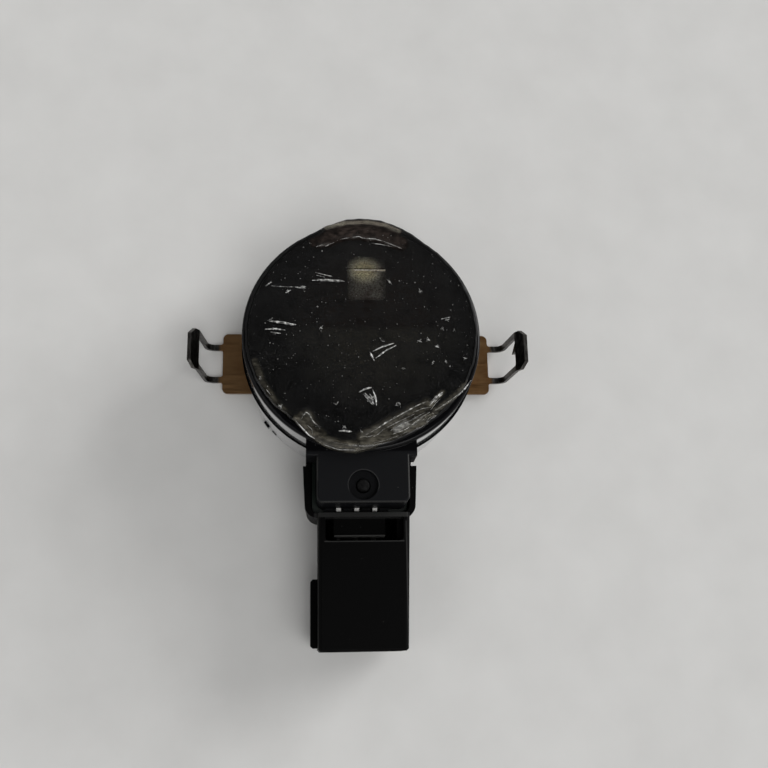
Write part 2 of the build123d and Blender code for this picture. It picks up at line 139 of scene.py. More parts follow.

# Strap: its tarnish in two tones, its drawn lines, its left plate painted lighter against the shade on it,
# and the steel of its loops, worn and with painted highlights
BRONZE_DARK = (0.19, 0.09, 0.033)
BRONZE = (0.25, 0.14, 0.06)
BRONZE_LINES = (0.3, 0.19, 0.105)
BRONZE_PAINTED_LIGHT = (0.34, 0.205, 0.1)
STEEL_DARK = (0.05, 0.047, 0.044)
STEEL_WORN_AND_HIGHLIGHT = (0.15, 0.145, 0.135)

# Light window: the middle, reach, edge and strength of its painted glow and of the painted haze round it
GLOW_MIDDLE = (0.4, 9.5)
GLOW_REACH = (2.6, 2.3)
GLOW_EDGE = (1.15, 0.1)
GLOW_POWER = 1.5
GLOW_SHARE = 0.72
HAZE_MIDDLE = 0.7
HAZE_REACH = 2.9
HAZE_SIDES = (1.0, 0.3)
HAZE_BOTTOM = (4.6, 5.4)
HAZE_TOP = (11.2, 9.6)
HAZE_SHARE = 0.28
WINDOW_BLACK = (0.003, 0.003, 0.003)
WINDOW_GREY = (0.52, 0.52, 0.46)
WINDOW_OLIVE = (0.84, 0.79, 0.50)

# Painted highlight line across the window: where each of its edges fades in
LINE_BOTTOM = (9.34, 9.37)
LINE_TOP = (9.64, 9.61)
LINE_LEFT = (-1.2, -0.9)
LINE_HIGHLIGHT = (1.0, 0.98, 0.85)

# Lens, pins, board and emitters, each in two tones, and the pins' painted shade inside the shroud
LENS_DARK = (0.002, 0.002, 0.0025)
LENS_PALE = (0.006, 0.006, 0.0062)
PIN_SHADE = (0.03, 0.03, 0.028)
TIN_DARK = (0.7, 0.69, 0.66)
TIN_PALE = (0.92, 0.91, 0.88)
BOARD_DARK = (0.001, 0.006, 0.003)
BOARD_PALE = (0.003, 0.014, 0.007)
RESIN_DARK = (0.4, 0.42, 0.46)
RESIN_PALE = (0.6, 0.62, 0.65)

# Small parts: finish, its dark and pale tone, its roughness, and the nodes that have it
SMALL_PARTS = (
    ("shield_black", (0.004, 0.004, 0.004), (0.008, 0.008, 0.008), 0.6, ("light_shield",)),
    ("chip_black", (0.01, 0.01, 0.011), (0.022, 0.022, 0.024), 0.5,
     ("ambient_light_sensor", "control_chip", "voltage_regulator", "protection_diode",
      "infrared_receiver_1", "infrared_receiver_2")),
    ("fired_ceramic", (0.3, 0.22, 0.14), (0.42, 0.32, 0.22), 0.4,
     ("clock_resonator", "filter_capacitor_2", "filter_capacitor_3")),
    ("tantalum_yellow", (0.45, 0.3, 0.03), (0.6, 0.42, 0.06), 0.4, ("filter_capacitor_1",)),
)
MOTTLE_SIZE = 0.4

# Gel: clear, milky in two tones, brown behind the top band, pale where thick, white where torn, and
# painted shade along its lip
GEL_CLEAR = (0.95, 0.95, 0.93)
GEL_OLIVE_DARK = (0.2, 0.18, 0.135)
GEL_OLIVE = (0.31, 0.29, 0.235)
GEL_BROWN = (0.115, 0.085, 0.072)
GEL_PALE = (0.42, 0.41, 0.38)
GEL_WHITE = (0.55, 0.55, 0.52)
GEL_LIP_SHADE = (0.006, 0.006, 0.006)
MILK_STRETCH = (0.35, 1.0, 1.0)
RIPPLE_SHARE = 0.12
FILM_MIDDLE = 1.5
FILM_REACH = 13.0
TORN_DARK = (0.1, 0.1, 0.095)
TORN_WHITE = (0.95, 0.95, 0.93)
GRIT_DARK = (0.1, 0.1, 0.1)
GRIT_PALE = (0.45, 0.45, 0.43)

# Gel mesh: vertices in a row, rows on its upper side, its rounded lip with the share of it that lies
# outside the last of those rows, and its two levels
GEL_TURNS = 720
GEL_RINGS = 80
GEL_LIP = 0.2
GEL_LIP_START = 0.15
GEL_LEVEL = GEL_TOP - 0.1
GEL_FLOOR = LENS_LEVEL - 0.02

# Rows down the gel's edge: share of its radius, and how far down, from 0 to 1 of its height. Then the
# rows on the lens: shares of a radius that lies inside the rim.
EDGE_ROWS = ((1.0, 0.75), (0.997, 1.0), (0.985, 1.0))
EDGE_HEIGHT = 0.3
INNER_ROWS = (1.0, 0.6)
INNER_INSET = 0.75

# Overhang of the gel's upper side and underside: its start and end past the rim, and how far it sags
# all round, with how much more it sags at the bottom
TOP_HANG = (-0.7, 0.3)
TOP_SAG = (0.12, 0.4)
LOW_HANG = (-0.4, 0.3)
LOW_SAG = (0.1, 0.5)

# Waves over the gel: height, turns in x and in y as radians per millimetre, and shift in radians
GEL_WAVES = ((0.03, 0.45, 0.3, 0.0), (0.025, -0.35, 0.7, 1.0))

# Unevenness of the gel's edge: depth, waves round it, and shift in radians
EDGE_RIPPLES = ((0.035, 23, 1.0), (0.025, 41, 0.0), (0.02, 67, 2.0))

# Where two masks fade in: the painted shade on the lip from the gel's edge, and a milky stretch in its
# half widths
LIP_FADE = (-0.45, -0.2)
MILK_FADE = (-1.25, -0.5)

# Pointed ends of folds and of strands: start and span of the half turn of a sine, and its power
FOLD_TAPER = (0.06, 0.88, 0.5)
STRAND_TAPER = (0.05, 0.9, 0.6)
LINE_STEP = 0.1

# Strands: main width and step, the level of their foot and of a flat crest, and random ranges
STRAND_SEED = 7
STRAND_WIDTH = 0.13
STRAND_STEP = 0.10
STRAND_FOOT = GEL_TOP - 0.12
STRAND_RISE = 0.1
WIDTH_RANGE = (0.4, 1.2)
CREST_RANGE = (0.2, 1.2)
LEAN_RANGE = (-0.6, 0.6)

# A scratch shorter than a bit is crossed by chips
BIT_LENGTH = 0.95
BIT_MAIN = 0.4
CHIPS = 2
CHIP_WIDTH = 0.06
CHIP_REACH = (0.12, 0.38)
CHIP_SHIFT = (-0.15, 0.15)
CHIP_HEIGHT = (0.2, 0.6)

# A scratch over the wide limit, in strand widths, has a bundle of finer strands beside its main one
MAIN_LIMIT = 2.0
WIDE_LIMIT = 2.2
BUNDLE_COUNT = 1.6
BUNDLE_STEP = 0.25
BUNDLE_START = (0.0, 0.45)
BUNDLE_END = (0.6, 1.0)
BUNDLE_SHIFT = (-0.5, 0.5)
BUNDLE_JITTER = (-0.03, 0.03)
BUNDLE_WIDTH = (0.4, 1.0)
BUNDLE_HEIGHT = (0.3, 1.0)

# Crumbs of grit: number, reach from the middle, least size and growth, sides, and levels
CRUMB_SEED = 11
CRUMBS = 420
CRUMB_REACH = 15.6
CRUMB_SIZE = 0.03
CRUMB_GROWTH = 0.09
CRUMB_SIDE = (0.7, 1.5)
CRUMB_FOOT = GEL_TOP - 0.14
CRUMB_TOP = GEL_TOP - 0.02
CRUMB_FACES = ((0, 2, 1), (0, 1, 3), (1, 2, 3), (2, 0, 3))

# Gel edge: angle from +X, and radius
GEL_EDGE = (
    (0, 16.25), (30, 16.3), (55, 16.3), (64, 16.6), (69, 16.9), (76, 17.15), (87, 17.35),
    (97, 17.2), (106, 16.85), (113, 16.4), (140, 16.25), (180, 16.3), (215, 16.1), (228, 15.8),
    (234, 15.75), (244, 16.5), (254, 17.0), (261, 17.1), (267, 16.95), (275, 16.5), (284, 16.2),
    (297, 15.85), (312, 15.85), (330, 16.1), (360, 16.25),
)

# Folds raised in the gel: points, half width and height
FOLDS = (
    ([(-1.1, -15.4), (0.3, -14.6), (1.7, -13.9), (3.9, -12.5), (6.2, -11.2), (8.7, -9.9)], 0.45, 0.10),
    ([(6.6, -13.3), (8.0, -12.3), (9.1, -11.9), (10.4, -11.6)], 0.40, 0.10),
    ([(3.8, -14.4), (6.2, -13.4), (7.6, -12.6), (8.3, -12.1)], 0.40, 0.10),
    ([(-8.2, -11.9), (-7.8, -11.5), (-7.3, -11.9), (-6.9, -12.7), (-6.4, -13.3)], 0.4, 0.08),
    ([(-6.4, 12.7), (-5.6, 13.0), (-4.3, 13.05), (-3.9, 13.4)], 0.3, 0.06),
    ([(-3.9, 13.7), (-2.2, 14.1), (-0.3, 14.35), (0.7, 14.0), (1.9, 14.0), (4.0, 13.2), (5.9, 12.5)],
     0.3, 0.08),
    ([(9.7, -11.3), (10.9, -10.6), (12.2, -9.7), (14.1, -8.1), (15.0, -6.9)], 0.3, 0.06),
)

# Sharp crests of the folds: points, width and height
CRESTS = (
    ([(-0.6, -15.1), (0.4, -14.6), (1.7, -13.9)], 0.14, 0.05),
    ([(1.7, -13.9), (3.0, -13.0), (3.9, -12.5), (4.3, -12.1)], 0.30, 0.08),
    ([(3.9, -12.5), (6.2, -11.2), (7.6, -10.45), (8.9, -9.95)], 0.24, 0.08),
    ([(1.2, -15.0), (1.9, -14.6), (2.6, -14.0)], 0.14, 0.05),
    ([(-0.2, -14.9), (0.6, -14.95), (1.5, -14.7)], 0.12, 0.05),
    ([(5.6, -14.0), (6.7, -13.2), (7.6, -12.5), (8.3, -12.0), (9.1, -11.5)], 0.32, 0.08),
    ([(2.3, -14.1), (4.5, -12.95), (7.0, -11.75)], 0.07, 0.04),
    ([(3.6, -14.1), (5.2, -13.2), (7.4, -12.1), (8.6, -11.45)], 0.06, 0.04),
    ([(6.8, -11.5), (8.2, -10.95), (9.3, -10.8)], 0.08, 0.04),
    ([(5.0, -13.9), (5.6, -13.4), (6.5, -13.2)], 0.10, 0.05),
    ([(4.6, -13.6), (5.2, -13.0), (5.5, -13.3)], 0.10, 0.05),
    ([(5.9, -13.0), (7.0, -12.4), (8.0, -12.1)], 0.06, 0.04),
    ([(8.6, -12.8), (9.1, -12.2), (9.3, -11.7)], 0.10, 0.05),
    ([(9.2, -11.2), (9.9, -10.3), (10.6, -9.6)], 0.08, 0.05),
    ([(1.0, -15.9), (2.6, -15.5), (4.4, -14.9), (6.0, -14.2)], 0.07, 0.03),
    ([(-7.6, -13.3), (-7.0, -13.9), (-6.9, -14.6)], 0.07, 0.03),
    ([(-8.4, -12.4), (-8.1, -11.9), (-8.3, -11.6)], 0.10, 0.04),
    ([(8.1, -12.6), (8.6, -12.1), (9.4, -11.7), (10.4, -11.6)], 0.20, 0.06),
    ([(3.8, -14.6), (5.0, -14.2), (6.2, -13.7)], 0.14, 0.05),
    ([(-8.1, -11.9), (-7.8, -11.5), (-7.3, -11.9), (-6.9, -12.7), (-6.4, -13.3)], 0.26, 0.08),
    ([(-6.5, -13.0), (-6.1, -13.6), (-5.8, -13.5)], 0.22, 0.06),
    ([(-9.1, -12.8), (-8.3, -13.7), (-7.4, -14.7), (-6.6, -15.2)], 0.20, 0.05),
    ([(-6.4, 12.7), (-5.6, 13.0), (-4.9, 12.9)], 0.13, 0.05),
    ([(-5.2, 12.7), (-4.6, 13.1), (-3.9, 13.4)], 0.13, 0.05),
    ([(-3.0, 13.9), (-1.6, 14.2)], 0.07, 0.03),
    ([(-1.2, 14.25), (-0.3, 14.4), (0.3, 14.1)], 0.12, 0.05),
    ([(0.3, 14.15), (1.9, 14.05), (3.2, 13.7)], 0.13, 0.05),
    ([(3.2, 13.7), (4.4, 13.2), (5.9, 12.55)], 0.17, 0.05),
    ([(1.4, 13.4), (3.0, 13.2), (4.6, 12.8)], 0.07, 0.03),
    ([(9.7, -11.3), (10.9, -10.6), (12.2, -9.7), (13.2, -8.9)], 0.26, 0.06),
    ([(13.0, -9.2), (14.1, -8.1), (15.0, -6.9)], 0.22, 0.05),
    ([(-14.2, -6.4), (-13.9, -7.0)], 0.12, 0.04),
    ([(-13.2, -8.3), (-12.6, -9.1)], 0.10, 0.04),
    ([(-11.6, -10.3), (-11.2, -10.8)], 0.12, 0.04),
    ([(-5.4, -16.0), (-3.4, -16.7), (-1.2, -16.75)], 0.07, 0.02),
)

# Milky stretches of the gel: points, half width and strength
MILK = (
    ([(-9.0, -12.7), (-7.6, -14.2), (-5.2, -15.6), (-2.8, -16.2), (-0.8, -16.3), (1.2, -15.9)],
     0.80, 0.62),
    ([(1.2, -15.6), (3.5, -14.8), (5.8, -13.8), (8.2, -12.7)], 0.75, 0.58),
    ([(-7.9, -12.2), (-7.0, -13.4), (-5.6, -14.5)], 0.6, 0.25),
    ([(-0.2, -14.9), (1.9, -14.0), (4.2, -12.8), (6.5, -11.6), (8.8, -10.5)], 0.8, 0.42),
    ([(4.4, -13.9), (5.0, -13.5), (5.8, -13.0)], 0.65, 0.95),
    ([(5.4, -14.0), (7.2, -12.9), (9.6, -11.9)], 0.40, 0.5),
    ([(9.3, -10.5), (10.2, -9.4), (11.0, -8.6)], 0.35, 0.6),
    ([(9.9, -11.3), (11.4, -10.2), (13.0, -8.9), (14.6, -7.2)], 0.45, 0.45),
    ([(-8.4, -11.9), (-7.8, -12.0), (-7.2, -12.5)], 0.55, 0.35),
    ([(-14.9, -4.4), (-13.9, -7.2), (-12.2, -9.9), (-10.4, -11.9)], 0.6, 0.28),
    ([(-4.9, 15.7), (-2.2, 16.5), (0.9, 16.7), (3.4, 16.3), (5.4, 15.3)], 0.50, 0.66),
    ([(-4.9, 14.0), (-2.4, 14.9), (0.9, 15.1), (3.6, 14.4), (5.6, 13.4)], 1.15, 0.40),
    ([(-6.6, 13.4), (-4.9, 14.2)], 0.8, 0.25),
)

# Scratches and bits torn out of the gel: points, width and height
SCRATCHES = (
    ([(-13.5, 6.7), (-12.7, 7.3)], 0.20, 0.10),
    ([(-12.7, 6.7), (-10.4, 6.6), (-9.2, 6.6)], 0.09, 0.05),
    ([(-9.4, 6.6), (-8.1, 6.4)], 0.18, 0.08),
    ([(-10.7, 5.7), (-10.0, 6.1)], 0.40, 0.12),
    ([(-8.6, 6.7), (-7.9, 6.4)], 0.35, 0.10),
    ([(-7.0, 7.6), (-5.2, 7.7), (-2.4, 7.5)], 0.42, 0.14),
    ([(-6.5, 8.8), (-5.4, 8.5), (-4.1, 8.2)], 0.15, 0.08),
    ([(-6.4, 8.4), (-5.2, 8.1)], 0.10, 0.06),
    ([(-13.2, 1.5), (-12.4, 2.0)], 0.25, 0.10),
    ([(-13.0, 1.5), (-11.0, 1.3), (-9.2, 1.0)], 0.45, 0.14),
    ([(-13.5, 0.3), (-12.1, 0.4), (-10.7, 0.2)], 0.24, 0.10),
    ([(-12.7, -0.1), (-11.3, -0.3)], 0.16, 0.08),
    ([(1.0, -2.9), (1.6, -4.2)], 0.28, 0.12),
    ([(1.4, -2.8), (2.8, -2.1), (4.4, -1.6)], 0.24, 0.12),
    ([(1.8, -3.8), (3.2, -2.7), (4.7, -1.9)], 0.24, 0.12),
    ([(-0.6, -8.7), (0.3, -8.2), (1.2, -8.0)], 0.28, 0.14),
    ([(1.3, -8.3), (1.7, -9.4), (1.8, -10.6)], 0.22, 0.12),
    ([(0.2, -8.8), (0.8, -9.4), (1.5, -10.4)], 1.30, 0.05),
    ([(-4.1, -10.2), (-3.7, -10.5), (-3.4, -10.0)], 0.22, 0.10),
    ([(7.7, -1.2), (8.3, -1.4)], 0.45, 0.12),
    ([(8.9, -0.9), (9.4, -1.2)], 0.35, 0.12),
    ([(10.1, -2.0), (10.7, -2.2)], 0.40, 0.12),
    ([(14.0, -3.6), (14.5, -3.8)], 0.36, 0.12),
    ([(11.1, 2.0), (12.4, 2.3)], 0.20, 0.10),
    ([(11.6, 1.8), (12.3, 2.0)], 0.24, 0.10),
    ([(11.0, 0.5), (11.4, 0.7)], 0.30, 0.10),
    ([(12.9, 0.7), (13.0, 0.3)], 0.20, 0.08),
    ([(8.1, 6.6), (8.4, 5.8)], 0.26, 0.12),
    ([(3.8, 7.6), (4.1, 7.4)], 0.26, 0.10),
    ([(5.5, -5.5), (5.8, -5.2)], 0.18, 0.08),
    ([(9.6, -4.4), (10.0, -4.2)], 0.22, 0.08),
    ([(11.4, -4.3), (11.7, -4.1)], 0.20, 0.08),
    ([(-6.0, 0.4), (-5.5, 0.9)], 0.14, 0.08),
    ([(2.4, -0.8), (2.7, -1.3), (3.1, -1.4)], 0.18, 0.08),
    ([(4.5, -10.6), (4.6, -10.1), (5.0, -10.2), (5.1, -10.8)], 0.20, 0.10),
    ([(9.1, -10.6), (10.0, -9.5), (11.0, -8.6)], 0.60, 0.08),
    ([(-3.4, -14.1), (-2.5, -14.1), (-1.6, -14.2)], 0.36, 0.14),
    ([(-2.9, -13.8), (-2.6, -13.4), (-2.3, -13.8)], 0.18, 0.10),
    ([(-0.4, -14.2), (-0.1, -14.3)], 0.34, 0.12),
    ([(-11.5, -10.5), (-11.0, -11.0)], 0.22, 0.08),
)

# Inputs of a map range node, in the order in which a ramp is given
RAMP_SOCKETS = ("From Min", "From Max", "To Min", "To Max")


class Look:
    """A node material on the Principled shader, whose textures lie in the object's own frame."""

    def __init__(self, name, **sockets):
        self.material = bpy.data.materials.new(name)
        self.material.use_nodes = True
        self.tree = self.material.node_tree
        self.shader = self.tree.nodes["Principled BSDF"]
        for socket, value in sockets.items():
            self.set(socket.replace("_", " "), value)
        coordinates = self.node("ShaderNodeTexCoord").outputs["Object"]
        self.place = self.vector("MULTIPLY", coordinates, (1 / MM,) * 3)

    def node(self, kind, **settings):
        made = self.tree.nodes.new(kind)
        for key, value in settings.items():
            setattr(made, key, value)
        return made

    def feed(self, socket, value):
        """Links an output to a socket, or writes a plain value on it."""
        if isinstance(value, bpy.types.NodeSocket):
            self.tree.links.new(value, socket)
        else:
            socket.default_value = value

    def set(self, name, value):
        self.feed(self.shader.inputs[name], value)

    def vector(self, operation, a, b):
        made = self.node("ShaderNodeVectorMath", operation=operation)
        self.feed(made.inputs[0], a)
        self.feed(made.inputs[1], b)
        return made.outputs["Vector"]

    def math(self, operation, *values):
        """One operation over two or more values, from left to right."""
        result = values[0]
        for value in values[1:]:
            made = self.node("ShaderNodeMath", operation=operation)
            self.feed(made.inputs[0], result)
            self.feed(made.inputs[1], value)
            result = made.outputs["Value"]
        return result

    def times(self, *values):
        return self.math("MULTIPLY", *values)

    def plus(self, *values):
        return self.math("ADD", *values)

    def highest(self, *values):
        return self.math("MAXIMUM", *values)

    def axis(self, letter):
        made = self.node("ShaderNodeSeparateXYZ")
        self.feed(made.inputs["Vector"], self.place)
        return made.outputs[letter]

    def mask(self, name):
        """A value that the mesh carries at each vertex."""
        return self.node("ShaderNodeAttribute", attribute_name=name).outputs["Fac"]

    def falloff(self, letter, centre, reach):
        """0 at the centre, 1 at the reach to either side of it, and growing with the square."""
        away = self.math("SUBTRACT", self.axis(letter), centre)
        return self.math("POWER", self.math("DIVIDE", away, reach), 2.0)

    def band(self, value, low, high, start=0.0, end=1.0):
        """A straight ramp from start at low to end at high, and level beyond them."""
        made = self.node("ShaderNodeMapRange")
        self.feed(made.inputs["Value"], value)
        for name, number in zip(RAMP_SOCKETS, (low, high, start, end)):
            made.inputs[name].default_value = number
        return made.outputs["Result"]

    def fade(self, value, start, end):
        """From start where the value is 0 to end where it is 1."""
        return self.band(value, 0.0, 1.0, start, end)

    def between(self, letter, low, high, soft=MASK_FADE):
        """1 where the coordinate lies between low and high, 0 outside."""
        value = self.axis(letter)
        fall = self.band(value, high, high + soft, 1.0, 0.0)
        return self.times(self.band(value, low - soft, low), fall)

    def noise(self, size, detail, stretch=(1.0, 1.0, 1.0)):
        """Noise whose blotches are about the given size, drawn out where stretch is under 1."""
        made = self.node("ShaderNodeTexNoise")
        self.feed(made.inputs["Vector"], self.vector("MULTIPLY", self.place, stretch))
        made.inputs["Scale"].default_value = 1 / size
        made.inputs["Detail"].default_value = detail
        return made.outputs["Fac"]

    def blotches(self, size, detail, low, high, start=0.0, end=1.0, stretch=(1.0, 1.0, 1.0)):
        """Noise made stronger between two of its levels."""
        return self.band(self.noise(size, detail, stretch), low, high, start, end)

    def specks(self, spacing, radius, share, strength):
        """The strength on round specks of dust, 0 between. share is how many places hold one."""
        made = self.node("ShaderNodeTexVoronoi")
        self.feed(made.inputs["Vector"], self.place)
        made.inputs["Scale"].default_value = 1 / spacing
        chosen = self.node("ShaderNodeSeparateColor")
        self.feed(chosen.inputs["Color"], made.outputs["Color"])
        near = self.band(made.outputs["Distance"], 0.5 * radius / spacing, radius / spacing, 1.0, 0.0)
        held = self.band(chosen.outputs["Red"], 1 - share, 1 - share + SPECK_FADE)
        return self.times(near, held, strength)

    def blend(self, factor, a, b):
        """A mix of two colours. Its sockets share their names with other types, so the type picks them."""
        made = self.node("ShaderNodeMix", data_type="RGBA")
        self.feed(made.inputs[0], factor)
        sockets = [s for s in made.inputs if s.type == "RGBA"]
        for socket, value in zip(sockets, (a, b)):
            self.feed(socket, value if isinstance(value, bpy.types.NodeSocket) else (*value, 1.0))
        return next(s for s in made.outputs if s.type == "RGBA")

    def grazing(self, low, high):
        """0 where the surface faces the viewer and 1 at a flat angle."""
        made = self.node("ShaderNodeFresnel")
        made.inputs["IOR"].default_value = PLASTIC_IOR
        return self.band(made.outputs["Fac"], low, high)

    def bump(self, height, depth):
        """Tilts the surface by a height that runs from 0 to depth."""
        made = self.node("ShaderNodeBump")
        made.inputs["Distance"].default_value = depth * MM
        self.feed(made.inputs["Height"], height)
        self.set("Normal", made.outputs["Normal"])


def box_mask(look, *ranges):
    """1 inside a box given by its ranges of x, y and z."""
    return look.times(*[look.between(letter, *limits) for letter, limits in zip("XYZ", ranges)])


def ring_mask(look, centre, low, high):
    """1 between two radii round an upright axis."""
    square = look.plus(*[look.falloff(letter, place, 1.0) for letter, place in zip("XY", centre)])
    radius = look.math("POWER", square, 0.5)
    inside = look.band(radius, high, high + MASK_FADE, 1.0, 0.0)
    return look.times(look.band(radius, low - MASK_FADE, low), inside)


def paint_highlights(look, color, places):
    """Paints highlights on the places given by their ranges and by how light they are."""
    for *ranges, level in places:
        color = look.blend(box_mask(look, *ranges), color, tuple(level * part for part in HIGHLIGHT_TINT))
    return color


def neck_mask(look):
    """1 on the neck and the shroud, 0 on the round head."""
    return look.band(look.axis("Y"), NECK_START, NECK_START - NECK_FADE)


def wall_mirror(look, neck, strength):
    """How much a round wall mirrors: only at a flat angle, and not on the neck."""
    return look.times(look.grazing(*MIRROR_EDGE), look.fade(neck, strength, 0.0))


def recess_highlight(look):
    """How much painted highlight lies on the recess's edge, on top of the neck cover."""
    ring = ring_mask(look, STAKE_PLACE, *ARC_RADII)
    lit = look.between("Y", *ARC_REACH, soft=ARC_FADE)
    return look.times(ring, lit, look.band(look.axis("Z"), *ARC_LEVEL), ARC_STRENGTH)


def stake_highlight(look):
    """How much painted highlight lies on the stake post's top, in patches."""
    disc = ring_mask(look, STAKE_PLACE, *STAKE_RADII)
    patches = look.blotches(size=0.5, detail=3, low=0.35, high=0.65, start=0.15, end=0.75)
    return look.times(disc, look.band(look.axis("Z"), *STAKE_LEVEL), patches)


def gloss_black():
    """The upper housing: a mirror-like round wall and a satin neck cover, both dusty, with painted
    highlights on the cover's edges and on the recess's arc.
    """
    look = Look("gloss_black", Specular_IOR_Level=0.1)
    neck = neck_mask(look)
    dust = look.specks(spacing=0.8, radius=0.07, share=0.3, strength=0.35)
    grain = look.noise(size=0.12, detail=4)
    color = look.blend(neck, WALL_BLACK, COVER_BLACK)
    color = look.blend(dust, color, COVER_DUST)
    # Painted highlights on the cover's edges and on the recess's arc
    color = paint_highlights(look, color, COVER_HIGHLIGHTS)
    color = look.blend(recess_highlight(look), color, ARC_HIGHLIGHT)
    wall = look.band(look.axis("Z"), RIM_TURN, RIM_TURN + RIM_FADE, start=1.0, end=0.0)
    mirror = look.times(wall_mirror(look, neck, strength=0.92), wall)
    look.set("Metallic", mirror)
    look.set("Base Color", look.blend(mirror, color, COVER_MIRROR))
    dullness = look.fade(neck, start=0.07, end=0.42)
    look.set("Roughness", look.plus(dullness, look.band(grain, 0.3, 0.7, end=0.06)))
    look.bump(look.plus(look.times(grain, neck), look.noise(size=3.0, detail=1)), depth=0.012)
    return look.material


def satin_black():
    """The lower housing and its shroud: dark moulded plastic, smoother on the round wall, with painted
    highlights on edges and on the stake post's top.
    """
    look = Look("satin_black", Specular_IOR_Level=0.04)
    neck = neck_mask(look)
    dust = look.specks(spacing=0.9, radius=0.06, share=0.22, strength=0.25)
    grain = look.noise(size=0.1, detail=5)
    color = look.blend(dust, BASE_BLACK, BASE_DUST)
    # Painted highlights on the base's edges and on the stake post's top
    color = paint_highlights(look, color, BASE_HIGHLIGHTS)
    color = look.blend(stake_highlight(look), color, STAKE_HIGHLIGHT)
    mirror = wall_mirror(look, neck, strength=0.9)
    look.set("Metallic", mirror)
    look.set("Base Color", look.blend(mirror, color, BASE_MIRROR))
    dullness = look.fade(neck, start=0.12, end=0.4)
    look.set("Roughness", look.plus(dullness, look.band(grain, 0.3, 0.7, end=0.1)))
    look.bump(look.times(grain, neck), depth=0.01)
    return look.material


def strap_metal():
    """Spring sheet, tarnished to a dull bronze on its plates, the left one painted lighter against shade,
    and left as dark steel with worn streaks and painted highlights on its loops.
    """
    look = Look("strap_metal", Metallic=1.0)
    lines = look.noise(size=0.25, detail=4, stretch=(0.08, 1.0, 1.0))
    tarnish = look.blotches(size=2.2, detail=3, low=0.35, high=0.65)
    plate = look.blend(tarnish, BRONZE_DARK, BRONZE)
    plate = look.blend(look.band(lines, 0.4, 0.75, end=0.25), plate, BRONZE_LINES)
    # The left plate is painted lighter, against the shade that falls on it
    painted_light = look.band(look.axis("X"), *PAINTED_LIGHT_EDGE, end=0.55)
    plate = look.blend(painted_light, plate, BRONZE_PAINTED_LIGHT)
    # Worn streaks on the loops, which also serve as painted highlights
    worn_and_highlight = look.blotches(size=0.3, detail=4, low=0.4, high=0.75, stretch=(1.0, 0.3, 0.3))
    steel = look.blend(worn_and_highlight, STEEL_DARK, STEEL_WORN_AND_HIGHLIGHT)
    from_middle = look.math("POWER", look.falloff("X", 0.0, 1.0), 0.5)
    loops = look.band(from_middle, LOOP_START, LOOP_START + LOOP_FADE)
    look.set("Base Color", look.blend(loops, plate, steel))
    look.set("Roughness", look.band(lines, 0.3, 0.7, start=0.28, end=0.42))
    look.bump(lines, depth=0.006)
    return look.material


def lens_black():
    """The lens disc under the gel, a little cloudy."""
    look = Look("lens_black", Roughness=0.12, Specular_IOR_Level=0.25)
    cloud = look.blotches(size=2.5, detail=4, low=0.4, high=0.75)
    look.set("Base Color", look.blend(cloud, LENS_DARK, LENS_PALE))
    return look.material


def milky_guide():
    """The light window: a painted olive mottled glow, a painted grey haze round it and a painted highlight
    line across it.
    """
    look = Look("milky_guide", Specular_IOR_Level=0.2)
    x, y = look.axis("X"), look.axis("Y")
    # The glow and its haze are painted into the base colour
    away = look.plus(*[look.falloff(*place) for place in zip("XY", GLOW_MIDDLE, GLOW_REACH)])
    core = look.math("POWER", look.band(away, *GLOW_EDGE), GLOW_POWER)
    sides = look.band(look.falloff("X", HAZE_MIDDLE, HAZE_REACH), *HAZE_SIDES)
    haze = look.times(sides, look.band(y, *HAZE_BOTTOM), look.band(y, *HAZE_TOP, end=HAZE_SHARE))
    glow = look.plus(look.times(core, GLOW_SHARE), haze)
    mottle = look.blotches(size=0.25, detail=5, low=0.32, high=0.66, start=0.45, end=1.05)
    cloud = look.times(glow, mottle)
    color = look.blend(cloud, WINDOW_BLACK, look.blend(core, WINDOW_GREY, WINDOW_OLIVE))
    # The line is a painted highlight
    line = look.times(look.band(y, *LINE_BOTTOM), look.band(y, *LINE_TOP), look.band(x, *LINE_LEFT))
    look.set("Base Color", look.blend(line, color, LINE_HIGHLIGHT))
    look.set("Roughness", look.band(glow, 0.0, 0.5, start=0.12, end=0.4))
    return look.material


def pin_metal():
    """Tinned pins, bright in the neck and painted dark with shade inside the shroud."""
    look = Look("pin_metal", Roughness=0.5, Metallic=0.8)
    tin = look.blend(look.noise(size=0.4, detail=3), TIN_DARK, TIN_PALE)
    # Painted shade on the pins inside the shroud
    unshaded = look.band(look.axis("Y"), PIN_FULL_SHADE, PIN_NO_SHADE)
    look.set("Base Color", look.blend(unshaded, PIN_SHADE, tin))
    return look.material


def board_green():
    """The circuit board's varnish over its weave."""
    look = Look("board_green", Roughness=0.4)
    weave = look.noise(size=0.5, detail=3, stretch=(1.0, 0.2, 1.0))
    look.set("Base Color", look.blend(weave, BOARD_DARK, BOARD_PALE))
    return look.material


def mottled(name, dark, pale, roughness):
    """A small part's moulded or fired surface."""
    look = Look(name, Roughness=roughness)
    look.set("Base Color", look.blend(look.noise(MOTTLE_SIZE, detail=4), dark, pale))
    look.bump(look.noise(MOTTLE_SIZE / 4, detail=3), depth=0.004)
    return look.material


def smoke_resin():
    """The clear grey resin of the infrared emitters."""
    look = Look("smoke_resin", Roughness=0.08, Transmission_Weight=0.7)
    look.set("Base Color", look.blend(look.noise(size=0.6, detail=2), RESIN_DARK, RESIN_PALE))
    return look.material


def gel_haze(look, milk):
    """How much the milky stretches cover, cloudy and streaked."""
    cloud = look.blotches(size=0.9, detail=6, low=0.3, high=0.7, start=0.25)
    streaks = look.blotches(size=0.35, detail=5, low=0.35, high=0.68, start=0.3, stretch=MILK_STRETCH)
    return look.times(milk, cloud, streaks)


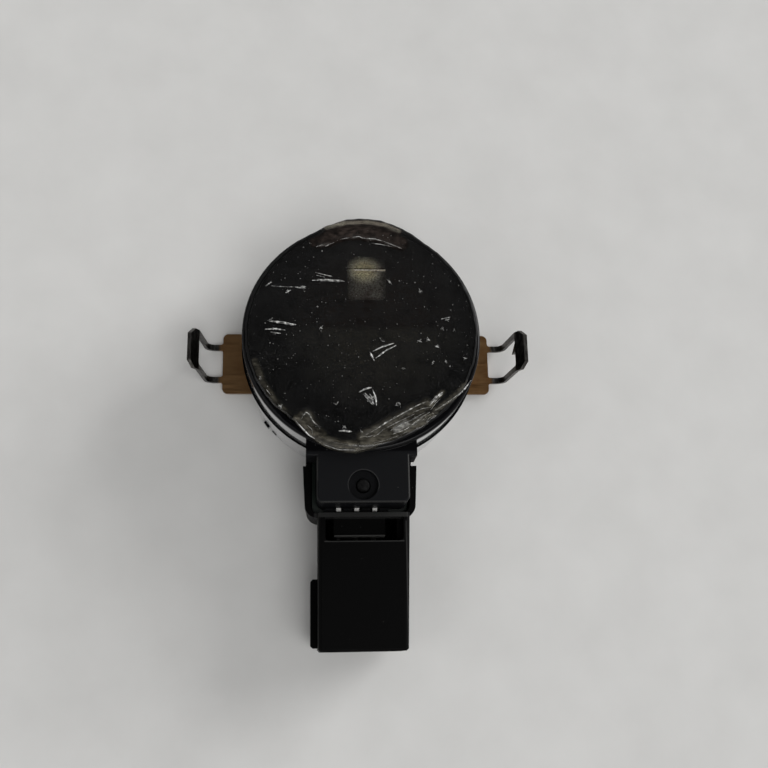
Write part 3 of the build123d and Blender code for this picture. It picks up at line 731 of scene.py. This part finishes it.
def gel_dust(look):
    """How much the dust covers: a few larger specks, and fine grit in patches."""
    larger = look.specks(spacing=1.1, radius=0.08, share=0.35, strength=0.3)
    patches = look.blotches(size=2.5, detail=3, low=0.35, high=0.7, start=0.04, end=0.2)
    grit = look.specks(spacing=0.4, radius=0.05, share=0.45, strength=patches)
    return look.highest(larger, grit)


def gel_film(look):
    """How much a thin greasy film covers, strongest near the middle."""
    smear = look.blotches(size=1.8, detail=7, low=0.3, high=0.75, start=0.002, end=0.018)
    dots = look.blotches(size=0.16, detail=3, low=0.52, high=0.75, end=0.08)
    away = look.plus(*[look.falloff(letter, FILM_MIDDLE, FILM_REACH) for letter in "XY"])
    return look.times(look.plus(smear, dots), look.band(away, 0.05, 1.0, start=1.9, end=0.25))


def gel_color(look, milk, white, cover):
    """Clear, or olive where covered, which is brown behind the top band and white where torn."""
    olive = look.blend(look.noise(size=2.0, detail=3), GEL_OLIVE_DARK, GEL_OLIVE)
    upper = look.band(look.axis("Y"), 0.0, 1.0)
    brown = look.times(upper, look.band(milk, 0.45, 0.6, start=1.0, end=0.0))
    olive = look.blend(brown, olive, GEL_BROWN)
    olive = look.blend(look.band(milk, 0.65, 0.85), olive, GEL_PALE)
    covered = look.blend(look.band(white, 0.05, 0.6), olive, GEL_WHITE)
    return look.blend(look.band(cover, 0.0, 0.03), GEL_CLEAR, covered)


def clear_gel():
    """Clear silicone that turns milky olive along its torn edges, with painted shade along its lip."""
    look = Look("clear_gel", IOR=1.41)
    milk, crease, lip = [look.mask(name) for name in ("milk", "crease", "lip")]
    dust = gel_dust(look)
    patches = look.blotches(size=1.4, detail=5, low=0.35, high=0.6, start=0.02, end=0.25)
    torn = look.times(crease, patches)
    cover = look.highest(gel_haze(look, milk), dust, torn, gel_film(look))
    color = gel_color(look, milk, look.plus(torn, dust), cover)
    # Painted shade along the lip
    dark = look.times(lip, look.band(milk, 0.05, 0.3, start=1.0, end=0.0))
    look.set("Base Color", look.blend(look.band(dark, 0.0, 0.15), color, GEL_LIP_SHADE))
    clear = look.times(look.fade(cover, 1.0, 0.0), look.band(dark, 0.15, 1.0, start=1.0, end=0.0))
    look.set("Transmission Weight", clear)
    dullness = look.band(cover, 0.0, 0.6, start=0.08, end=0.35)
    look.set("Roughness", look.highest(dullness, look.fade(dark, 0.0, 0.5)))
    look.set("Specular IOR Level", look.fade(dark, 0.5, 0.12))
    ripple = look.times(look.noise(size=0.3, detail=3), RIPPLE_SHARE)
    look.bump(look.plus(look.noise(size=1.6, detail=3), ripple), depth=0.05)
    return look.material


def torn_gel():
    """The whitened lips of the scratches, with darker stretches."""
    look = Look("torn_gel", Roughness=0.35)
    patch = look.blotches(size=0.45, detail=5, low=0.38, high=0.6)
    look.set("Base Color", look.blend(patch, TORN_DARK, TORN_WHITE))
    return look.material


def pale_table():
    """The plain table top, faintly mottled."""
    look = Look("pale_table", Roughness=0.6, Specular_IOR_Level=0.2)
    mottle = look.blotches(size=9.0, detail=6, low=0.3, high=0.7)
    look.set("Base Color", look.blend(mottle, TABLE_DARK, TABLE_PALE))
    return look.material


def make_mesh(name, vertices, faces, material, body="root", smooth=True):
    """A new piece whose vertices are in millimetres in the frame."""
    mesh = bpy.data.meshes.new(name)
    mesh.from_pydata([tuple(float(c) * MM for c in v) for v in vertices], [], faces)
    mesh.materials.append(material)
    if smooth:
        mesh.shade_smooth()
    else:
        mesh.shade_flat()
    mesh.validate()
    piece = bpy.data.objects.new(name, mesh)
    bpy.context.scene.collection.objects.link(piece)
    if body:
        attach(piece, body)
    return piece


def add_mask(piece, name, values):
    """Gives the mesh a value at each vertex, which its material reads by name."""
    attribute = piece.data.attributes.new(name, "FLOAT", "POINT")
    attribute.data.foreach_set("value", np.asarray(values, np.float32))


def smooth_step(value, low, high):
    share = np.clip((value - low) / (high - low), 0.0, 1.0)
    return share * share * (3 - 2 * share)


def taper(along, start, span, power):
    """Pointed at both ends of a line and full at its middle. along runs from 0 to 1."""
    return np.sin(np.pi * (start + span * along)) ** power


def spread(points, step):
    """Points along a line at about equal steps, with their share of its length so far."""
    line = np.array(points, float)
    lengths = np.concatenate([[0.0], np.cumsum(np.linalg.norm(np.diff(line, axis=0), axis=1))])
    count = max(3, int(lengths[-1] / step) + 1)
    along = np.linspace(0.0, lengths[-1], count)
    places = np.stack([np.interp(along, lengths, line[:, k]) for k in range(2)], axis=1)
    return places, along / lengths[-1]


def distance_to(points, x, y):
    """Distance of each place from a line, and how far along it the nearest point is, from 0 to 1."""
    places, along = spread(points, LINE_STEP)
    away = np.hypot(x[:, None] - places[None, :, 0], y[:, None] - places[None, :, 1])
    return away.min(axis=1), along[away.argmin(axis=1)]


def across(step):
    """The direction to the left of a step, as a unit vector."""
    return np.array([-step[1], step[0]]) / np.linalg.norm(step)


def edge_radius(angles):
    """Radius of the gel's edge at each angle, with a small unevenness."""
    radius = np.interp(angles, *zip(*GEL_EDGE))
    turn = np.radians(angles)
    for depth, count, shift in EDGE_RIPPLES:
        radius = radius + depth * np.sin(count * turn + shift)
    return radius


def fold_relief(x, y):
    """Height of the folds at each point, and how much of a fold there is, from 0 to 1."""
    height = np.zeros_like(x)
    share = np.zeros_like(x)
    for points, half_width, top in FOLDS:
        away, along = distance_to(points, x, y)
        ridge = np.exp(-((away / half_width) ** 2)) * taper(along, *FOLD_TAPER)
        height = np.maximum(height, ridge * top)
        share = np.maximum(share, ridge)
    return height, share


def gel_milk(x, y):
    """How milky the gel is at each place, from 0 to 1."""
    milk = np.zeros_like(x)
    for points, half_width, strength in MILK:
        away = distance_to(points, x, y)[0]
        limits = [half_width * share for share in MILK_FADE]
        milk = np.maximum(milk, strength * smooth_step(-away, *limits))
    return milk


def sag(radius, turn, hang, depth):
    """How far the gel sags where it hangs over the rim."""
    over = smooth_step(radius, *[RIM_RADIUS + past for past in hang])
    all_round, at_bottom = depth
    return (all_round + at_bottom * np.clip(-np.sin(turn), 0, 1)) * over


def gel_surface(turn, edge):
    """Vertices of the gel's upper side, out to its rounded lip, and how much of a fold each is in."""
    share = np.linspace(0.0, 1.0, GEL_RINGS + 1)[1:]
    radius = (edge[None, :] - GEL_LIP * GEL_LIP_START) * share[:, None]
    x, y = (radius * np.cos(turn)).ravel(), (radius * np.sin(turn)).ravel()
    height, crease = fold_relief(x, y)
    waves = sum(depth * np.sin(in_x * x + in_y * y + shift) for depth, in_x, in_y, shift in GEL_WAVES)
    inset = (edge[None, :] - radius).ravel()
    lip = np.clip(1 - inset / GEL_LIP, 0, 1)
    rounding = GEL_LIP * (1 - np.sqrt(np.clip(1 - lip ** 2, 0, 1)))
    reach = np.repeat(edge[None, :], GEL_RINGS, 0).ravel() - inset
    drop = sag(reach, np.arctan2(y, x), TOP_HANG, TOP_SAG)
    return np.stack([x, y, GEL_LEVEL + waves + height - rounding - drop], axis=1), crease


def gel_row(radius, turn, level):
    return np.stack([radius * np.cos(turn), radius * np.sin(turn), level], axis=1)


def gel_underside(turn, edge):
    """Rows of vertices down the gel's edge, and then inwards over the lens."""
    droop = sag(edge, turn, LOW_HANG, LOW_SAG)
    rows = []
    for part, drop in EDGE_ROWS:
        rows.append(gel_row(part * edge, turn, GEL_FLOOR + EDGE_HEIGHT * (1 - drop) - droop * drop))
    for part in INNER_ROWS:
        radius = part * (RIM_RADIUS - INNER_INSET)
        rows.append(gel_row(radius, turn, np.full(GEL_TURNS, GEL_FLOOR)))
    return rows


def gel_faces(rows):
    """Quads between neighbouring rows, and a fan round the middle of each side."""
    faces = []
    for row in range(rows - 1):
        a, b = row * GEL_TURNS, (row + 1) * GEL_TURNS
        for i in range(GEL_TURNS):
            j = (i + 1) % GEL_TURNS
            faces.append((a + i, b + i, b + j, a + j))
    middle_top = rows * GEL_TURNS
    middle_low = middle_top + 1
    last = (rows - 1) * GEL_TURNS
    for i in range(GEL_TURNS):
        j = (i + 1) % GEL_TURNS
        faces.append((middle_top, i, j))
        faces.append((middle_low, last + j, last + i))
    return faces


def make_gel():
    """The gel pad: a thin wavy disc with an uneven edge that hangs over the rim at top and bottom."""
    angles = np.linspace(0.0, 360.0, GEL_TURNS, endpoint=False)
    turn = np.radians(angles)
    edge = edge_radius(angles)
    surface, crease = gel_surface(turn, edge)
    underside = gel_underside(turn, edge)
    middles = [(0, 0, GEL_LEVEL), (0, 0, GEL_FLOOR)]
    vertices = np.concatenate([surface, *underside, middles])
    piece = make_mesh("gel", vertices, gel_faces(GEL_RINGS + len(underside)), clear_gel())

    x, y = vertices[:, 0], vertices[:, 1]
    add_mask(piece, "milk", gel_milk(x, y))
    add_mask(piece, "crease", np.concatenate([crease, np.zeros(len(vertices) - len(crease))]))
    past_edge = np.hypot(x, y) - np.interp(np.degrees(np.arctan2(y, x)) % 360, angles, edge)
    add_mask(piece, "lip", smooth_step(past_edge, *LIP_FADE))
    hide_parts("gel_pad")


def add_strand(vertices, faces, points, width, height, rng):
    """A ridge with pointed ends along a line, uneven in width and height, with its foot in the gel."""
    places, along = spread(points, STRAND_STEP)
    start, count = len(vertices), len(places)
    for k, (x, y) in enumerate(places):
        side = across(places[min(k + 1, count - 1)] - places[max(k - 1, 0)])
        swell = taper(along[k], *STRAND_TAPER)
        half = 0.5 * width * swell * rng.uniform(*WIDTH_RANGE)
        crest = STRAND_FOOT + STRAND_RISE + height * swell * rng.uniform(*CREST_RANGE)
        lean = rng.uniform(*LEAN_RANGE) * half
        for offset, level in ((-half, STRAND_FOOT), (lean, crest), (half, STRAND_FOOT)):
            vertices.append((x + side[0] * offset, y + side[1] * offset, level))
    for k in range(count - 1):
        a, b = start + 3 * k, start + 3 * (k + 1)
        faces += [(a, a + 1, b + 1, b), (a + 1, a + 2, b + 2, b + 1), (a + 2, a, b, b + 2)]
    last = start + 3 * (count - 1)
    faces += [(start, start + 2, start + 1), (last, last + 1, last + 2)]


def bundle_line(points, width, rng):
    """A stretch of a scratch, moved to one side of it and a little crooked."""
    places, along = spread(points, BUNDLE_STEP)
    first = rng.uniform(*BUNDLE_START)
    last = rng.uniform(*BUNDLE_END)
    side = across(places[-1] - places[0])
    shift = rng.uniform(*BUNDLE_SHIFT) * (width - STRAND_WIDTH)
    chosen = [p for p, share in zip(places, along) if first <= share <= last]
    if len(chosen) < 2:
        chosen = [places[0], places[-1]]
    return [tuple(p + side * (shift + rng.uniform(*BUNDLE_JITTER))) for p in chosen]


def chip_line(points, rng):
    """A short line across a bit, in any direction."""
    middle = np.mean(points, axis=0)
    turn = rng.uniform(0, math.pi)
    reach = np.array([math.cos(turn), math.sin(turn)]) * rng.uniform(*CHIP_REACH)
    shift = np.array([rng.uniform(*CHIP_SHIFT), rng.uniform(*CHIP_SHIFT)])
    return [tuple(middle + shift - reach), tuple(middle + shift + reach)]


def make_scratches():
    """A main ridge for each scratch, with chips across a short one and strands beside a wide one."""
    rng = random.Random(STRAND_SEED)
    vertices, faces = [], []
    for points, width, height in SCRATCHES + CRESTS:
        is_bit = math.dist(points[0], points[-1]) < BIT_LENGTH
        main = BIT_MAIN * width if is_bit else width
        add_strand(vertices, faces, points, min(main, MAIN_LIMIT * STRAND_WIDTH), height, rng)
        if is_bit:
            for _ in range(CHIPS):
                line = chip_line(points, rng)
                add_strand(vertices, faces, line, CHIP_WIDTH, height * rng.uniform(*CHIP_HEIGHT), rng)
        elif width > WIDE_LIMIT * STRAND_WIDTH:
            for _ in range(int(width / STRAND_WIDTH * BUNDLE_COUNT)):
                line = bundle_line(points, width, rng)
                fine = STRAND_WIDTH * rng.uniform(*BUNDLE_WIDTH)
                add_strand(vertices, faces, line, fine, height * rng.uniform(*BUNDLE_HEIGHT), rng)
    piece = make_mesh("gel_scratches", vertices, faces, torn_gel(), smooth=False)


def make_dust():
    """Grit stuck on the gel, as tiny four-sided crumbs."""
    rng = random.Random(CRUMB_SEED)
    vertices, faces = [], []
    for _ in range(CRUMBS):
        radius = CRUMB_REACH * math.sqrt(rng.random())
        turn = rng.uniform(0, 2 * math.pi)
        x, y = radius * math.cos(turn), radius * math.sin(turn)
        size = CRUMB_SIZE + CRUMB_GROWTH * rng.random() ** 3
        spin = rng.uniform(0, math.pi)
        faces += [tuple(len(vertices) + corner for corner in face) for face in CRUMB_FACES]
        for k in range(3):
            angle = spin + k * 2 * math.pi / 3
            side = size * rng.uniform(*CRUMB_SIDE)
            vertices.append((x + side * math.cos(angle), y + side * math.sin(angle), CRUMB_FOOT))
        vertices.append((x, y, CRUMB_TOP + size))
    grit = mottled("grit", GRIT_DARK, GRIT_PALE, roughness=0.6)
    piece = make_mesh("gel_grit", vertices, faces, grit, smooth=False)


def dress(material, *nodes):
    for name in nodes:
        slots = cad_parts[name].data.materials
        slots.clear()
        slots.append(material)


def dress_nodes():
    """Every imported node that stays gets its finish."""
    dress(gloss_black(), "upper_housing")
    dress(satin_black(), "lower_housing")
    dress(strap_metal(), "spring_strap")
    dress(lens_black(), "lens_plate")
    dress(milky_guide(), "light_window")
    dress(pin_metal(), "contact_pin_1", "contact_pin_2", "contact_pin_3")
    dress(board_green(), "circuit_board")
    dress(smoke_resin(), "infrared_emitter_1", "infrared_emitter_2")
    for finish, dark, pale, roughness, nodes in SMALL_PARTS:
        dress(mottled(finish, dark, pale, roughness), *nodes)


def make_camera():
    data = bpy.data.cameras.new("camera")
    data.lens = CAMERA_LENS
    data.sensor_width = CAMERA_SENSOR
    data.clip_start = CAMERA_NEAR * MM
    data.clip_end = CAMERA_FAR * MM
    camera = bpy.data.objects.new("camera", data)
    camera.location = Vector(CAMERA_PLACE) * MM
    camera.rotation_euler = [math.radians(a) for a in CAMERA_TURN]
    bpy.context.scene.collection.objects.link(camera)
    bpy.context.scene.camera = camera


def make_table():
    half = TABLE_SIZE / 2
    corners = [(-half, -half, 0), (half, -half, 0), (half, half, 0), (-half, half, 0)]
    table = make_mesh("table", corners, [(0, 1, 2, 3)], pale_table(), body=None)


def make_suns():
    for name, compass, elevation, strength, spread_angle in SUNS:
        sun = bpy.data.lights.new(name, "SUN")
        sun.energy = strength
        sun.angle = math.radians(spread_angle)
        lamp = bpy.data.objects.new(name, sun)
        lamp.rotation_euler = (math.radians(90 - elevation), 0, math.radians(compass + 90))
        bpy.context.scene.collection.objects.link(lamp)


def fill_sky(tree, background, color, edge, strength):
    """Gives a background its colour, and its strength by how high the sky is."""
    background.inputs["Color"].default_value = (*color, 1.0)
    height = tree.nodes.new("ShaderNodeSeparateXYZ")
    tree.links.new(tree.nodes.new("ShaderNodeTexCoord").outputs["Generated"], height.inputs["Vector"])
    ramp = tree.nodes.new("ShaderNodeMapRange")
    tree.links.new(height.outputs["Z"], ramp.inputs["Value"])
    for name, number in zip(RAMP_SOCKETS, (*edge, OVERHEAD_LIGHT, strength)):
        ramp.inputs[name].default_value = number
    tree.links.new(ramp.outputs["Result"], background.inputs["Strength"])


def backdrop_rays(tree):
    """1 for the rays that see the backdrop: the camera's, and those that metal and glass send on."""
    ray = tree.nodes.new("ShaderNodeLightPath")
    seen = ray.outputs["Is Camera Ray"]
    for kind in ("Is Glossy Ray", "Is Transmission Ray"):
        either = tree.nodes.new("ShaderNodeMath")
        either.operation = "MAXIMUM"
        tree.links.new(seen, either.inputs[0])
        tree.links.new(ray.outputs[kind], either.inputs[1])
        seen = either.outputs["Value"]
    return seen


def make_sky():
    world = bpy.data.worlds.new("studio")
    world.use_nodes = True
    tree = world.node_tree
    even = tree.nodes["Background"]
    shown = tree.nodes.new("ShaderNodeBackground")
    fill_sky(tree, even, SKY_WHITE, SKY_EDGE, SKY_LIGHT)
    fill_sky(tree, shown, BACKDROP, BACKDROP_EDGE, BACKDROP_LIGHT)
    choose = tree.nodes.new("ShaderNodeMixShader")
    tree.links.new(backdrop_rays(tree), choose.inputs["Fac"])
    tree.links.new(even.outputs["Background"], choose.inputs[1])
    tree.links.new(shown.outputs["Background"], choose.inputs[2])
    tree.links.new(choose.outputs["Shader"], tree.nodes["World Output"].inputs["Surface"])
    bpy.context.scene.world = world


# The scene: camera first, then the table, the light, the finishes and the new pieces
make_camera()
make_table()
make_suns()
make_sky()
bpy.context.scene.view_settings.view_transform = "Standard"
dress_nodes()
make_gel()
make_scratches()
make_dust()
